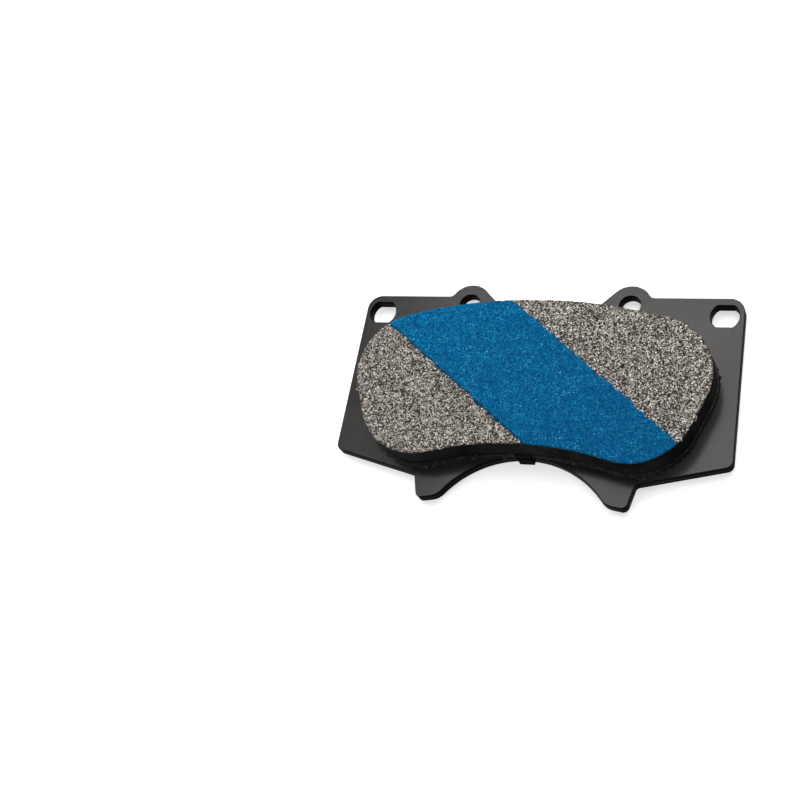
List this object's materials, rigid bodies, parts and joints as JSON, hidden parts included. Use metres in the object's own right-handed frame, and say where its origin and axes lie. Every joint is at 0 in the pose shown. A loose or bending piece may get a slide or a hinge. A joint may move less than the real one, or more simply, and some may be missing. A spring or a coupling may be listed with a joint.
{
  "type": "disc brake pad",
  "caption": "Disc brake pad: steel backing plate with pin ears, corner holes and legs, a moulded friction block with a diagonal bedding-in stripe, and a hooked noise shim.",
  "frame": {"origin": "middle of the pad's outline, on the back of the noise shim", "axes": "+Z along the friction face's normal, towards the disc; +Y away from the wheel centre, towards the pin ears; +X along the pad's length"},
  "size_m": [0.132, 0.0774, 0.0165],
  "materials": {
    "powder_coat": "satin charcoal powder coat with a fine orange peel",
    "shim_steel": "black lacquered cold-rolled steel",
    "shim_rubber": "dull black nitrile coat",
    "shim_glue": "pressure-sensitive adhesive",
    "bonding_film": "cured phenolic adhesive",
    "underlayer_mix": "moulded fibrous composite",
    "friction_mix": "ground friction composite with metal fibres, mineral grains and open pores",
    "blue_coating": "matt blue bedding-in coating baked on the ground face"
  },
  "bodies": {
    "root": {"shim_coat": "shim_rubber", "shim_steel": "shim_steel", "shim_glue": "shim_glue", "backing_plate": "powder_coat", "bonding_film": "bonding_film", "underlayer": "underlayer_mix", "friction_block": "friction_mix", "stripe_coating": "blue_coating"}
  },
  "joints": []
}
